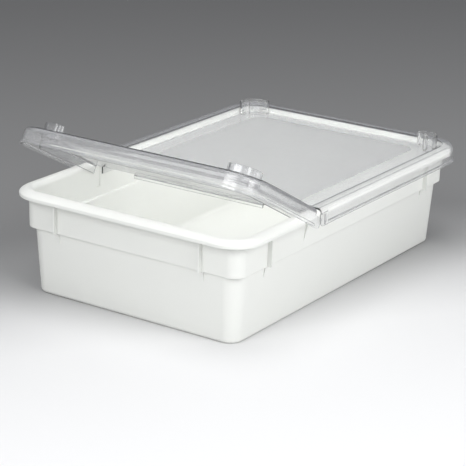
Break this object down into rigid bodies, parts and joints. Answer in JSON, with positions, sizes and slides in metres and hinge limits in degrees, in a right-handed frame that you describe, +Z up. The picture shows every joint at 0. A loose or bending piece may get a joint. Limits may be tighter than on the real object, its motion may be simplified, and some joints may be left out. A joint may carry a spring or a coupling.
{
  "type": "stacking flap-lid box",
  "caption": "Shallow white plastic tub with a clear lift-off lid, hollow stacking posts at the lid's corners and a hinged front flap, drawn part open.",
  "frame": {"origin": "centre of the underside of the tub's floor", "axes": "+X along the length, away from the flap; +Y across the width; +Z up"},
  "size_m": [0.2772, 0.1842, 0.1112],
  "materials": {
    "white_tub": "gloss white polypropylene",
    "clear_lid": "clear, faintly milky polypropylene"
  },
  "bodies": {
    "tub": {"tub": "white_tub"},
    "rear_lid": {"rear_lid": "clear_lid"},
    "front_flap": {"front_flap": "clear_lid"}
  },
  "joints": [
    {"name": "lid_lift", "type": "slide", "parent": "tub", "child": "rear_lid", "axis": [0, 0, 1], "range_m": [0, 0.04]},
    {"name": "flap_swing", "type": "hinge", "parent": "rear_lid", "child": "front_flap", "pos_m": [-0.055, 0, 0.0712], "axis": [0, 1, 0], "range_deg": [-28.5, 147.5]}
  ]
}
